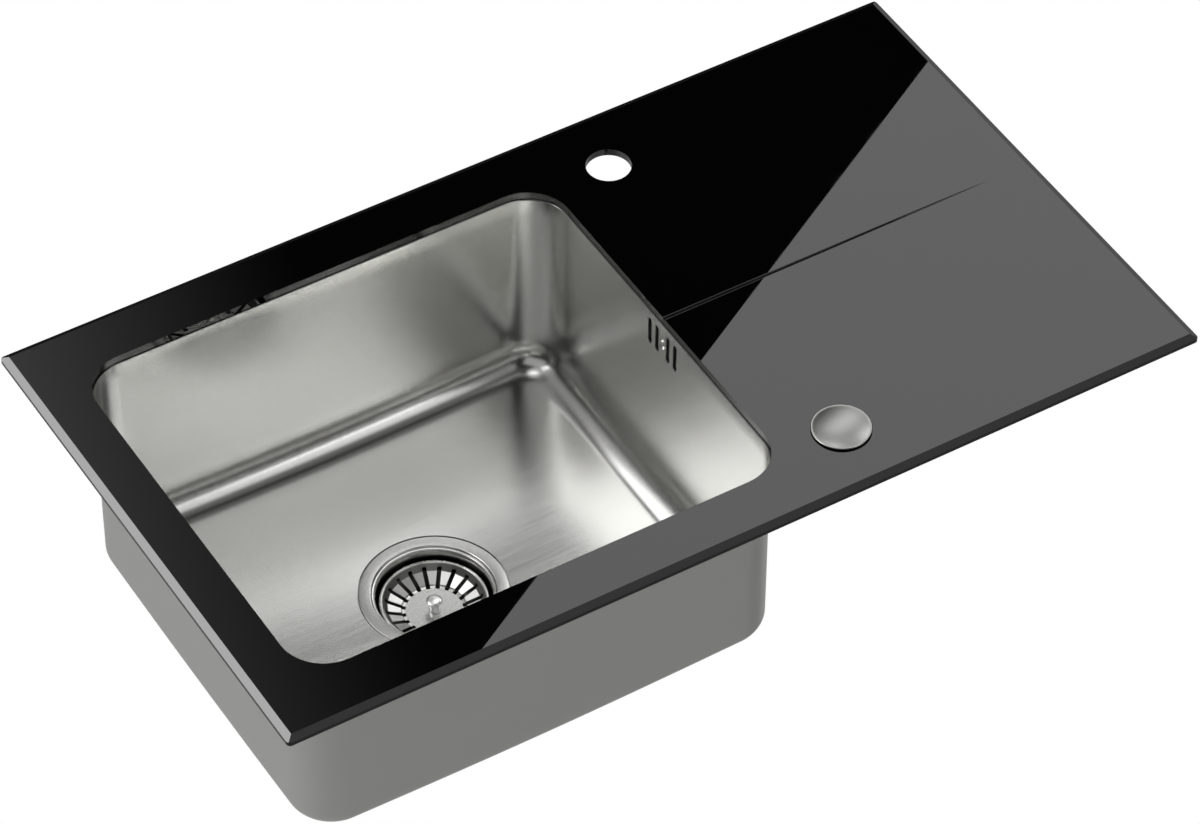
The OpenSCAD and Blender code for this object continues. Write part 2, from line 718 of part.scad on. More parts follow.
module lower_ferrule() color([0.7, 0.7, 0.72]) translate([0, crank_y, wire_z]) difference() {
  union() {
    translate([ferrule_x0, 0, 0]) rotate([0, 90, 0]) cylinder(r = ferrule_r - 1, h = ferrule_len);
    translate([stop_x + stop_t, 0, 0]) rotate([0, 90, 0]) cylinder(r = ferrule_r, h = 6);
  }
  translate([ferrule_x0 - 1, 0, 0]) rotate([0, 90, 0]) cylinder(r = ferrule_bore_r, h = ferrule_len - 1);
}

module cable_sheath() color([0.1, 0.1, 0.1]) {
  top = [control_x, control_y, upper_ferrule_bottom];
  start = top - [0, 0, 2 * sheath_d];
  last = [ferrule_x1, crank_y, wire_z];
  guide = concat(
    [for (p = sheath_shares) start + [p.x * (side_x - start.x), p.y * (last - start).y, p.z * (last - start).z]],
    [last + [24, 0, 0], last, last - [8, 0, 0]]
  );
  line = concat([top], spline(guide, 4));
  swept_tube(line, [for (p = line) sheath_d / 2], unit([0.6, 0.8, 0]), 8);
}

// Push control

module at_control() translate([control_x, control_y, 0]) children();

module upper_ferrule() color([0.7, 0.7, 0.72]) at_control() difference() {
  translate([0, 0, upper_ferrule_bottom]) cylinder(r = ferrule_r, h = upper_ferrule_len);
  translate([0, 0, upper_ferrule_bottom + 1]) cylinder(r = ferrule_bore_r, h = upper_ferrule_len);
}

// Thin round cap with a narrow raised rim and a shallow finger dish
module control_cap() color([0.7, 0.7, 0.68]) at_control() {
  edge = 0.3;
  dish_r = cap_r - edge - 1.4;
  dish_depth = cap_h * 0.4;
  curve_r = (pow(dish_r, 2) + pow(dish_depth, 2)) / 2 / dish_depth;
  dish_angle = asin(dish_r / curve_r);
  translate([0, 0, cap_z]) rotate_extrude() polygon(concat(
    [[0, 0], [cap_r, 0], [cap_r, cap_h - edge], [cap_r - edge, cap_h]],
    [for (i = [0 : 10]) let (a = dish_angle * (1 - i / 10))
      [i == 10 ? 0 : curve_r * sin(a), cap_h - dish_depth + curve_r * (1 - cos(a))]]
  ));
}

module control_stem() color([0.75, 0.75, 0.75]) at_control() {
  translate([0, 0, stem_bottom]) cylinder(r = stem_r, h = cap_z - stem_bottom);
  translate([0, 0, stem_collar_bottom]) cylinder(r = stem_collar_r, h = stem_collar_top - stem_collar_bottom);
}

module control_wire() color([0.75, 0.75, 0.75]) at_control() {
  end_z = upper_ferrule_bottom + 2.5;
  translate([0, 0, end_z]) cylinder(r = wire_r, h = stem_bottom - end_z);
}

module control_spring() color([0.6, 0.6, 0.6]) {
  z0 = sleeve_floor + spring_wire_r + 0.1;
  z1 = stem_collar_bottom - spring_wire_r - 0.1;
  steps = spring_turns * 16;
  line = [for (i = [0 : steps]) let (a = 360 * i / 16)
    [control_x + spring_r * cos(a), control_y + spring_r * sin(a), z0 + (z1 - z0) * i / steps]];
  swept_tube(line, [for (p = line) spring_wire_r], [0, 0, 1], 6);
}

module control_sleeve() color([0.25, 0.25, 0.25]) at_control() difference() {
  union() {
    translate([0, 0, glass_t + seal_t]) cylinder(r = collar_r, h = collar_t);
    translate([0, 0, sleeve_bottom]) cylinder(r = sleeve_r, h = collar_top - sleeve_bottom);
  }
  translate([0, 0, sleeve_floor]) cylinder(r = sleeve_bore_r, h = guide_bottom - sleeve_floor);
  translate([0, 0, guide_bottom - 1]) cylinder(r = stem_r + run_gap, h = guide_len + 2);
  translate([0, 0, sleeve_bottom - 1]) cylinder(r = ferrule_bore_r, h = 5);
}

module control_seal() color([0.08, 0.08, 0.08]) at_control()
  ring(collar_r - 0.5, sleeve_r + 0.2, glass_t, glass_t + seal_t);

module control_washer() color([0.08, 0.08, 0.08]) at_control()
  ring(washer_r, sleeve_r + 0.2, -washer_t, 0);

module control_nut() color([0.85, 0.85, 0.85]) at_control() difference() {
  union() {
    translate([0, 0, -washer_t - 2]) cylinder(r = washer_r, h = 2);
    translate([0, 0, -washer_t - control_nut_h]) cylinder(r = sleeve_r + 7, h = control_nut_h - 1, $fn = 6);
  }
  translate([0, 0, -washer_t - control_nut_h - 1]) cylinder(r = sleeve_r + 0.05, h = control_nut_h + 2);
}

// Overflow

module overflow_screw() color([0.85, 0.85, 0.85]) translate([0, bowl_y, screw_z]) rotate([0, 90, 0]) {
  head_h = 1.4;
  head_r = screw_head_d / 2;
  difference() {
    translate([0, 0, wall_x_in - head_h]) rotate_extrude() polygon([
      [0, 0], [head_r * 0.5, 0], [head_r * 0.85, 0.3], [head_r, 0.9], [head_r, head_h], [0, head_h]
    ]);
    for (turn = [0, 90]) rotate([0, 0, turn]) {
      translate([-head_r * 0.5, -0.5, wall_x_in - head_h - 1]) cube([head_r, 1, 2]);
    }
  }
  translate([0, 0, wall_x_in]) cylinder(r = screw_shank_r, h = housing_x0 - wall_x_in + 14);
}

module overflow_gasket() color([0.08, 0.08, 0.08]) difference() {
  translate([wall_x_out, bowl_y - housing_w / 2, housing_bottom])
    cube([overflow_gasket_t, housing_w, housing_top - housing_bottom]);
  for (y = slot_ys) translate([wall_x_out + overflow_gasket_t / 2, bowl_y + y, overflow_z]) {
    upright_slot(overflow_slot_w + 0.4, overflow_slot_len + 2, overflow_gasket_t + 2);
  }
  translate([wall_x_out - 1, bowl_y, screw_z]) rotate([0, 90, 0])
    cylinder(r = screw_shank_r + 0.2, h = overflow_gasket_t + 2);
}

module overflow_housing() color([0.85, 0.85, 0.85]) difference() {
  union() {
    difference() {
      translate([housing_x0, bowl_y - housing_w / 2, housing_bottom])
        cube([housing_x1 - housing_x0, housing_w, housing_top - housing_bottom]);
      translate([housing_x0 - 1, bowl_y - housing_w / 2 + housing_wall, housing_bottom + housing_wall])
        cube([housing_x1 - housing_x0 + 1 - housing_wall, housing_w - 2 * housing_wall,
          housing_top - housing_bottom - 2 * housing_wall]);
    }
    translate([hose_x, bowl_y, hose_top]) cylinder(r = spigot_r, h = spigot_len + 1);
    translate([housing_x0, bowl_y, screw_z]) rotate([0, 90, 0])
      cylinder(r = 4.5, h = housing_x1 - housing_x0);
  }
  translate([hose_x, bowl_y, hose_top - 1]) cylinder(r = hose_bore_r, h = spigot_len + housing_wall + 2);
  translate([housing_x0 - 1, bowl_y, screw_z]) rotate([0, 90, 0])
    cylinder(r = screw_shank_r + 0.05, h = 16);
}

// Centre line of the hose: down the bowl's side, round its lower edge and in to the waste body
hose_straight = hose_top - hose_bend_z;
hose_bend_len = PI / 2 * hose_bend_r;
hose_run = hose_x - hose_bend_r - hose_end_x;
hose_len = hose_straight + hose_bend_len + hose_run;

function hose_point(s) =
  s < hose_straight ? [hose_x, bowl_y, hose_top - s]
  : s < hose_straight + hose_bend_len
    ? let (a = 90 * (s - hose_straight) / hose_bend_len)
      [hose_x - hose_bend_r * (1 - cos(a)), bowl_y, hose_bend_z - hose_bend_r * sin(a)]
    : [hose_x - hose_bend_r - (s - hose_straight - hose_bend_len), bowl_y, inlet_z];

module overflow_hose() color([0.8, 0.8, 0.8]) {
  cuff = hose_d;
  ribs = floor((hose_len - 2 * cuff) / hose_rib_pitch);
  pitch = (hose_len - 2 * cuff) / ribs;
  stations = concat([0, cuff - pitch / 4],
    [for (i = [0 : ribs - 1], half = [1, 3]) cuff + (i + half / 4) * pitch], [hose_len]);
  line = [for (s = stations) hose_point(s)];
  root_r = hose_r - 1.8;
  radii = concat([hose_r, hose_r],
    [for (i = [0 : ribs - 1], half = [0, 1]) half == 0 ? root_r : hose_r], [hose_r]);
  bore_stations = concat([-1], [for (i = [0 : 24]) hose_len * i / 24], [hose_len + 1]);
  bore_line = [for (s = bore_stations) hose_point(s)];
  difference() {
    swept_tube(line, radii, [0, 1, 0], 16);
    swept_tube(bore_line, [for (p = bore_line) hose_bore_r], [0, 1, 0], 16);
  }
}

module hose_nut() {
  difference() {
    union() {
      cylinder(r = hose_nut_r, h = hose_nut_len);
      for (i = [0 : 11]) rotate([0, 0, 30 * i]) {
        translate([hose_nut_r - 0.6, -1.2, 1]) cube([1.6, 2.4, hose_nut_len - 2]);
      }
    }
    translate([0, 0, -1]) cylinder(r = hose_r + 0.1, h = hose_nut_len + 2);
  }
}

module upper_hose_nut() color([0.3, 0.3, 0.3])
  translate([hose_x, bowl_y, hose_top - hose_nut_len / 2]) hose_nut();

module lower_hose_nut() color([0.3, 0.3, 0.3])
  translate([hose_end_x - hose_nut_len / 2, bowl_y, inlet_z]) rotate([0, 90, 0]) hose_nut();

glass_top();
glass_bond();
rim_seal();
bowl();
strainer_cup();
flange_seal();
body_gasket();
waste_body();
outlet_tail();
clamp_screw();
basket();
basket_knob();
stopper_seal();
basket_nut();
lift_pin();
lift_arm();
rocker_shaft();
shaft_seal();
crank_arm();
pull_wire();
lower_ferrule();
cable_sheath();
upper_ferrule();
control_cap();
control_stem();
control_wire();
control_spring();
control_sleeve();
control_seal();
control_washer();
control_nut();
overflow_screw();
overflow_gasket();
overflow_housing();
overflow_hose();
upper_hose_nut();
lower_hose_nut();
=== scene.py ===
import json
import math

import bmesh
import bpy
from mathutils import Matrix, Vector


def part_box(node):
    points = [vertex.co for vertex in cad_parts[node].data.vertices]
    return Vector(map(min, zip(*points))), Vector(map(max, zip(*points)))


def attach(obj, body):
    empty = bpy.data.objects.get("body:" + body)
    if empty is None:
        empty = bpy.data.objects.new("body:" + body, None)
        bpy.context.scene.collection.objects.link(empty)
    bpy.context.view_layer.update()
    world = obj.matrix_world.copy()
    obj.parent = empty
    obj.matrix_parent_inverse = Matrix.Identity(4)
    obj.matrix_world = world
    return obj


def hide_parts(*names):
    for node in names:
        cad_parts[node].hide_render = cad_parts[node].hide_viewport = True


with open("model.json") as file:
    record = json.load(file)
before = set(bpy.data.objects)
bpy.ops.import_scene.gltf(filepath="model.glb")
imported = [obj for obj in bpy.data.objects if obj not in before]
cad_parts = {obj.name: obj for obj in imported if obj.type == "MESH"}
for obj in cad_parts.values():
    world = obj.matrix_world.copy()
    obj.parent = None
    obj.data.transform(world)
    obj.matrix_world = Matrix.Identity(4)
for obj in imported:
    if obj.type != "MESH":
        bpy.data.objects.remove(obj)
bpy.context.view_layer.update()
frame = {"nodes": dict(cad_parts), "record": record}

MM = 0.001
scene = bpy.context.scene

# Places read from the CAD nodes, in metres
glass_low, glass_high = (Vector(c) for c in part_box("glass_top"))
glass_mid = (glass_low + glass_high) / 2
glass_top_z = glass_high.z
rim_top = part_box("bowl")[1][2]
cup_low, cup_high = (Vector(c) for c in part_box("strainer_cup"))
drain_x = (cup_low.x + cup_high.x) / 2
drain_y = (cup_low.y + cup_high.y) / 2
deck_z = cup_high.z


# Node helpers for procedural materials

def new_material(name):
    mat = bpy.data.materials.new(name)
    mat.use_nodes = True
    mat.node_tree.nodes.clear()
    return mat, mat.node_tree


def principled(name):
    mat, tree = new_material(name)
    out = tree.nodes.new("ShaderNodeOutputMaterial")
    shader = tree.nodes.new("ShaderNodeBsdfPrincipled")
    tree.links.new(shader.outputs[0], out.inputs[0])
    return mat, tree, shader


def noise(tree, scale, detail, rough=0.5, stretch=None):
    coords = tree.nodes.new("ShaderNodeTexCoord")
    node = tree.nodes.new("ShaderNodeTexNoise")
    node.inputs["Scale"].default_value = scale
    node.inputs["Detail"].default_value = detail
    node.inputs["Roughness"].default_value = rough
    source = coords.outputs["Object"]
    if stretch:
        mapping = tree.nodes.new("ShaderNodeMapping")
        mapping.inputs["Scale"].default_value = stretch
        tree.links.new(source, mapping.inputs["Vector"])
        source = mapping.outputs[0]
    tree.links.new(source, node.inputs["Vector"])
    return node.outputs[0]


def fine_noise(tree, scale, stretch=None):
    return noise(tree, scale, 3.0, 0.6, stretch)


def ramp(tree, value, low, high, a, b):
    """Value a at low and below, b at high and above, and even between them."""
    node = tree.nodes.new("ShaderNodeMapRange")
    node.inputs["From Min"].default_value = low
    node.inputs["From Max"].default_value = high
    node.inputs["To Min"].default_value = a
    node.inputs["To Max"].default_value = b
    tree.links.new(value, node.inputs["Value"])
    return node.outputs[0]


def mix(tree, factor, first, second):
    """Colour between two, each given as a socket or as three numbers."""
    node = tree.nodes.new("ShaderNodeMix")
    node.data_type = "RGBA"
    for key, colour in (("A", first), ("B", second)):
        if isinstance(colour, tuple):
            node.inputs[key].default_value = (*colour, 1)
        else:
            tree.links.new(colour, node.inputs[key])
    tree.links.new(factor, node.inputs["Factor"])
    return node.outputs["Result"]


def maths(tree, operation, *values):
    node = tree.nodes.new("ShaderNodeMath")
    node.operation = operation
    for socket, value in zip(node.inputs, values):
        if isinstance(value, (int, float)):
            socket.default_value = value
        else:
            tree.links.new(value, socket)
    return node.outputs[0]


def bump(tree, shader, height, strength, distance):
    node = tree.nodes.new("ShaderNodeBump")
    node.inputs["Strength"].default_value = strength
    node.inputs["Distance"].default_value = distance
    tree.links.new(height, node.inputs["Height"])
    tree.links.new(node.outputs[0], shader.inputs["Normal"])


def place(tree):
    """Sockets X, Y and Z of the place in the frame, in metres."""
    coords = tree.nodes.new("ShaderNodeTexCoord")
    parts = tree.nodes.new("ShaderNodeSeparateXYZ")
    tree.links.new(coords.outputs["Object"], parts.inputs[0])
    return parts.outputs


def normal_z(tree, kind):
    """Upward part of the surface's normal, kind Normal or True Normal."""
    normal = tree.nodes.new("ShaderNodeNewGeometry")
    parts = tree.nodes.new("ShaderNodeSeparateXYZ")
    tree.links.new(normal.outputs[kind], parts.inputs[0])
    return parts.outputs["Z"]


def feed(shader, name):
    """The socket that already feeds one of the shader's inputs."""
    return shader.inputs[name].links[0].from_socket


# Materials

METAL_GRAIN = 900.0
PLASTIC_GRAIN = 700.0


def satin(name, dark, light, rough_low, rough_high):
    """Metal whose colour changes slowly and whose gloss changes finely."""
    mat, tree, shader = principled(name)
    shader.inputs["Metallic"].default_value = 1.0
    fine = fine_noise(tree, METAL_GRAIN)
    tree.links.new(mix(tree, noise(tree, 14.0, 2.0), dark, light), shader.inputs["Base Color"])
    tree.links.new(ramp(tree, fine, 0.3, 0.7, rough_low, rough_high), shader.inputs["Roughness"])
    return mat, tree, shader


def metal(*look):
    return satin(*look)[0]


def plastic(name, dark, light, rough_low, rough_high, grain=PLASTIC_GRAIN, bump_by=0.05):
    mat, tree, shader = principled(name)
    fine = fine_noise(tree, grain)
    tree.links.new(mix(tree, noise(tree, 20.0, 3.0), dark, light), shader.inputs["Base Color"])
    tree.links.new(ramp(tree, fine, 0.3, 0.7, rough_low, rough_high), shader.inputs["Roughness"])
    bump(tree, shader, fine, bump_by, 0.3 * MM)
    return mat


def pressed_steel(name, dark, light, rough_low, rough_high):
    """Satin sheet whose fine grain runs down the walls and along the floor.

    A painted shadow runs round the top of the rim: the colour goes near black there, as shade in
    the gap under the glass's edge."""
    mat, tree, shader = principled(name)
    shader.inputs["Metallic"].default_value = 1.0
    up = normal_z(tree, "Normal")
    grain = tree.nodes.new("ShaderNodeMix")
    tree.links.new(maths(tree, "MULTIPLY", up, up), grain.inputs["Factor"])
    tree.links.new(fine_noise(tree, 1.0, (420.0, 420.0, 9.0)), grain.inputs["A"])
    tree.links.new(fine_noise(tree, 1.0, (12.0, 420.0, 420.0)), grain.inputs["B"])
    fine = grain.outputs["Result"]
    # Painted shadow: the top of the rim goes near black, as shade of the gap under the glass.
    rim_gap_shade = ramp(tree, place(tree)["Z"], rim_top - 0.6 * MM, rim_top - 0.2 * MM, 0.0, 1.0)
    shade = mix(tree, rim_gap_shade, mix(tree, noise(tree, 12.0, 2.0), dark, light), (0.03, 0.03, 0.03))
    tree.links.new(shade, shader.inputs["Base Color"])
    tree.links.new(ramp(tree, fine, 0.35, 0.65, rough_low, rough_high), shader.inputs["Roughness"])
    bump(tree, shader, fine, 0.008, 0.1 * MM)
    return mat


def depth_ramp(tree, height, start, end):
    """From 0 at the depth start under the strainer's flange to 1 at the depth end, in mm."""
    return ramp(tree, height, deck_z - start * MM, deck_z - end * MM, 0.0, 1.0)


def cup_steel(name, dark, light):
    """Flange bright, and painted shade in the throat: the colour darkens with depth."""
    mat, tree, shader = satin(name, dark, light, 0.235, 0.25)
    colour = feed(shader, "Base Color")
    # Painted shade: the throat's colour goes near black from 5 to 12 mm under the flange.
    deep = depth_ramp(tree, place(tree)["Z"], 5, 12)
    tree.links.new(mix(tree, deep, colour, (0.06, 0.06, 0.058)), shader.inputs["Base Color"])
    return mat


def basket_steel(name):
    """Painted shade on the rougher band under the ring, painted light on the rougher teeth, and a
    bright plate, by depth.
    """
    mat, tree, shader = satin(name, (0.62, 0.62, 0.605), (0.65, 0.65, 0.635), 0.26, 0.28)
    colour, fine = feed(shader, "Base Color"), feed(shader, "Roughness")
    height = place(tree)["Z"]
    # Painted light makes the teeth pale and painted shade makes the band under the ring dark; both
    # are also rougher.
    painted_light_teeth = maths(tree, "MULTIPLY", depth_ramp(tree, height, 19.0, 18.5),
                  depth_ramp(tree, height, 14.5, 14.8))
    painted_shade_band = maths(tree, "MULTIPLY", depth_ramp(tree, height, 14.8, 14.5),
                 depth_ramp(tree, height, 9.6, 10.2))
    shade = mix(tree, painted_shade_band, mix(tree, painted_light_teeth, colour, (0.93, 0.93, 0.92)), (0.2, 0.2, 0.195))
    tree.links.new(shade, shader.inputs["Base Color"])
    softer = maths(tree, "MULTIPLY", maths(tree, "ADD", painted_light_teeth, painted_shade_band), 0.14)
    tree.links.new(maths(tree, "ADD", fine, softer), shader.inputs["Roughness"])
    return mat


def dished_metal(name, centre, reach, bend):
    """Satin metal with a round hollow of the given reach; it rises by bend times radius squared."""
    mat, tree, shader = satin(name, (0.33, 0.33, 0.32), (0.35, 0.35, 0.34), 0.30, 0.32)
    spot = place(tree)
    squares = []
    for axis, middle in zip("XY", centre):
        shift = maths(tree, "SUBTRACT", spot[axis], middle)
        squares.append(maths(tree, "MULTIPLY", shift, shift))
    inside = maths(tree, "MINIMUM", maths(tree, "ADD", *squares), reach ** 2)
    bump(tree, shader, maths(tree, "MULTIPLY", inside, bend), 1.0, 1.0)
    return mat


# The polished bevels, the cut faces and the ground groove mirror more or less than flat glass
GLASS_IOR = 1.5
BEVEL_IOR = 2.9
BEVEL_NORMAL_Z = 0.884
CUT_IOR = 2.05
GROOVE_IOR = 1.12
# Strip along the plate's outer edges that the cut faces and the groove keep clear of
EDGE_STRIP = 10.5 * MM


def black_glass(name):
    mat, tree, shader = principled(name)
    colour = mix(tree, noise(tree, 9.0, 2.0), (0.0012, 0.0012, 0.0012), (0.0018, 0.0018, 0.0019))
    tree.links.new(colour, shader.inputs["Base Color"])
    gloss = ramp(tree, noise(tree, 40.0, 2.0), 0.3, 0.7, 0.0, 0.012)
    tree.links.new(gloss, shader.inputs["Roughness"])
    up = normal_z(tree, "True Normal")
    off_bevel = maths(tree, "ABSOLUTE", maths(tree, "SUBTRACT", up, BEVEL_NORMAL_Z))
    ior = ramp(tree, off_bevel, 0.02, 0.03, BEVEL_IOR, GLASS_IOR)
    cut = ramp(tree, maths(tree, "ABSOLUTE", up), 0.02, 0.05, CUT_IOR - GLASS_IOR, 0.0)
    spot = place(tree)
    deep = ramp(tree, spot["Z"], glass_top_z - 0.3 * MM, glass_top_z - 0.4 * MM,
                0.0, GROOVE_IOR - GLASS_IOR)
    hollow = maths(tree, "MULTIPLY", deep, ramp(tree, up, 0.1, 0.15, 0.0, 1.0))
    change = maths(tree, "ADD", cut, hollow)
    for axis, middle, high in zip("XY", glass_mid, glass_high):
        away = maths(tree, "ABSOLUTE", maths(tree, "SUBTRACT", spot[axis], middle))
        inside = high - middle - EDGE_STRIP
        keep = ramp(tree, away, inside, inside + 2 * MM, 1.0, 0.0)
        change = maths(tree, "MULTIPLY", change, keep)
    tree.links.new(maths(tree, "ADD", ior, change), shader.inputs["IOR"])
    return mat


# Dark and light colour, and lowest and highest roughness
METALS = {
    "polished_steel": ((0.63, 0.63, 0.615), (0.66, 0.66, 0.645), 0.265, 0.285),
    "satin_metal": ((0.40, 0.40, 0.385), (0.43, 0.43, 0.415), 0.36, 0.42),
    "fitting_steel": ((0.5, 0.5, 0.49), (0.56, 0.56, 0.55), 0.22, 0.36),
    "brass": ((0.60, 0.44, 0.20), (0.66, 0.50, 0.25), 0.2, 0.35),
}
PLASTICS = {
    "bond_black": ((0.02, 0.02, 0.02), (0.03, 0.03, 0.03), 0.5, 0.7),
    "foam_grey": ((0.09, 0.09, 0.09), (0.14, 0.14, 0.14), 0.8, 0.95, 900.0, 0.4),
    "black_rubber": ((0.012, 0.012, 0.012), (0.02, 0.02, 0.02), 0.55, 0.75),
    "white_plastic": ((0.72, 0.72, 0.70), (0.78, 0.78, 0.76), 0.32, 0.45),
    "grey_plastic": ((0.06, 0.06, 0.065), (0.09, 0.09, 0.095), 0.35, 0.5),
    "hose_plastic": ((0.58, 0.58, 0.57), (0.66, 0.66, 0.65), 0.35, 0.5),
    "black_sheath": ((0.012, 0.012, 0.012), (0.02, 0.02, 0.02), 0.3, 0.45),
}
MATERIALS = {
    "black_glass": black_glass("black_glass"),
    "bowl_steel": pressed_steel("bowl_steel", (0.70, 0.70, 0.682), (0.715, 0.715, 0.697),
                                0.21, 0.235),
    **{name: metal(name, *look) for name, look in METALS.items()},
    **{name: plastic(name, *look) for name, look in PLASTICS.items()},
}

BASKET_STEEL = basket_steel("basket_steel")
KNOB_STEEL = metal("knob_steel", (0.80, 0.80, 0.785), (0.84, 0.84, 0.825), 0.30, 0.32)
SCREW_STEEL = metal("screw_steel", (0.90, 0.90, 0.89), (0.93, 0.93, 0.92), 0.12, 0.14)
GROUND_EDGE = plastic("ground_edge", (0.05, 0.05, 0.05), (0.06, 0.06, 0.06), 0.22, 0.26,
                      bump_by=0.0)
CUP_STEEL = cup_steel("cup_steel", (0.60, 0.60, 0.585), (0.63, 0.63, 0.615))

slot_of = {row["node"]: row["material_slot"] for row in frame["record"]["subparts"]}
for node, obj in frame["nodes"].items():
    for slot in obj.material_slots:
        slot.material = MATERIALS[slot_of[node]]


# Mesh helpers

def mesh_object(name, verts, faces, slot, body, sharp=35):
    mesh = bpy.data.meshes.new(name)
    mesh.from_pydata([tuple(v) for v in verts], [], faces)
    mesh.validate()
    for poly in mesh.polygons:
        poly.use_smooth = True
    mesh.set_sharp_from_angle(angle=math.radians(sharp))
    mesh.materials.append(MATERIALS[slot])
    obj = bpy.data.objects.new(name, mesh)
    scene.collection.objects.link(obj)
    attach(obj, body)
    return obj


def grid_faces(rows, columns, first=0, flip=False):
    """Faces between rows of points that close round on themselves."""
    faces = []
    for i in range(rows - 1):
        for j in range(columns):
            a = first + i * columns + j
            b = first + i * columns + (j + 1) % columns
            face = (a, b, b + columns, a + columns)
            faces.append(face[::-1] if flip else face)
    return faces


def rounded(corners, steps=6):
    """Points and left-hand normals along a line of corners: radius, height, rounding."""
    spots = [Vector((c[0], c[1])) for c in corners]
    line = []
    for i, (spot, corner) in enumerate(zip(spots, corners)):
        before = (spot - spots[i - 1]).normalized() if i else None
        after = (spots[i + 1] - spot).normalized() if i + 1 < len(spots) else None
        if before is None or after is None:
            u = after or before
            line.append((spot, Vector((-u.y, u.x))))
            continue
        turn = math.atan2(before.x * after.y - before.y * after.x, before.dot(after))
        left_in, left_out = Vector((-before.y, before.x)), Vector((-after.y, after.x))
        f = corner[2] if len(corner) > 2 else 0
        if f == 0 or abs(turn) < 1e-4:
            line.append((spot, (left_in + left_out) / (1 + left_in.dot(left_out))))
            continue
        side = 1 if turn > 0 else -1
        centre = spot - before * f * math.tan(abs(turn) / 2) + left_in * f * side
        for k in range(steps + 1):
            a = turn * k / steps
            n = Vector((left_in.x * math.cos(a) - left_in.y * math.sin(a),
                        left_in.x * math.sin(a) + left_in.y * math.cos(a)))
            line.append((centre - n * f * side, n))
    return line


def sheet_outline(corners, thick):
    """Closed outline of a bent sheet: the given line and its copy, thick to the left."""
    line = rounded(corners)
    return [p for p, n in line] + [p + n * thick for p, n in reversed(line)]


def solid_outline(corners, steps=6):
    return [p for p, n in rounded(corners, steps)]


def turned(name, outline, slot, body, centre, columns, sharp=35, flats=None):
    """Turn a closed outline in millimetres (radius, height) round an upright axis.

    flats gives a count of flat sides and the range of radii that has them."""
    verts = []
    for spot in outline:
        for j in range(columns):
            a = 2 * math.pi * j / columns
            r = spot.x * MM
            if flats and flats[1] < spot.x < flats[2]:
                step = 2 * math.pi / flats[0]
                r *= math.cos(step / 2) / math.cos((a % step) - step / 2)
            verts.append((centre[0] + r * math.cos(a), centre[1] + r * math.sin(a), spot.y * MM))
    faces = grid_faces(len(outline), columns)
    last = (len(outline) - 1) * columns
    for j in range(columns):
        k = (j + 1) % columns
        faces.append((last + j, last + k, k, j))
    obj = mesh_object(name, verts, faces, slot, body, sharp)
    tool = bmesh.new()
    tool.from_mesh(obj.data)
    bmesh.ops.remove_doubles(tool, verts=tool.verts, dist=2e-7)
    bmesh.ops.dissolve_degenerate(tool, edges=tool.edges, dist=1e-7)
    bmesh.ops.recalc_face_normals(tool, faces=tool.faces)
    tool.to_mesh(obj.data)
    tool.free()
    obj.data.set_sharp_from_angle(angle=math.radians(sharp))
    return obj


def join_shapes(*shapes):
    verts, faces = [], []
    for v, f in shapes:
        faces += [tuple(i + len(verts) for i in face) for face in f]
        verts += list(v)
    return verts, faces


def brick(low, high, turn):
    """Box between two corners in metres, turned by a matrix."""
    xs, ys, zs = zip(low, high)
    verts = [turn @ Vector((x, y, z)) for x in xs for y in ys for z in zs]
    faces = [(0, 1, 3, 2), (4, 6, 7, 5), (0, 4, 5, 1), (2, 3, 7, 6), (0, 2, 6, 4), (1, 5, 7, 3)]
    return verts, faces


def prism(outline, ends, corner):
    """Closed prism over an outline; corner gives the place of a point at one of the two ends."""
    n = len(outline)
    verts = [corner(p, end) for end in ends for p in outline]
    faces = [tuple(range(n))[::-1], tuple(range(n, 2 * n))]
    faces += [(i, (i + 1) % n, (i + 1) % n + n, i + n) for i in range(n)]
    return verts, faces


def subtract(obj, verts, faces):
    mesh = bpy.data.meshes.new("cutter")
    mesh.from_pydata(verts, [], faces)
    cutter = bpy.data.objects.new("cutter", mesh)
    scene.collection.objects.link(cutter)
    tool = bmesh.new()
    tool.from_mesh(mesh)
    bmesh.ops.recalc_face_normals(tool, faces=tool.faces)
    tool.to_mesh(mesh)
    tool.free()
    cut = obj.modifiers.new("cut", "BOOLEAN")
    cut.operation = "DIFFERENCE"
    cut.solver = "EXACT"
    cut.object = cutter
    bpy.context.view_layer.update()
    shape = obj.evaluated_get(bpy.context.evaluated_depsgraph_get())
    result = bpy.data.meshes.new_from_object(shape)
    obj.modifiers.clear()
    obj.data = result
    bpy.data.objects.remove(cutter)


# Bowl: one pressed sheet, drawn as an inner and an outer skin

BOWL_W = 198.0 * MM
BOWL_D = 171.25 * MM
BOWL_R = 34.0 * MM
FILLET = 14.0 * MM
INNER_FILLET = 25.0 * MM
SHEET = 0.8 * MM
FLOOR_SLOPE = 0.04
DISH_R = 57.6 * MM
RECESS = 2.0 * MM
HOLE_R = 45.0 * MM
RIM = 15.0 * MM
EDGE_R = 0.3 * MM
ARC_STEPS, SIDE_STEPS = 28, 26
LIP_STEPS, WALL_STEPS, FILLET_STEPS, FLOOR_STEPS = 4, 10, 18, 14


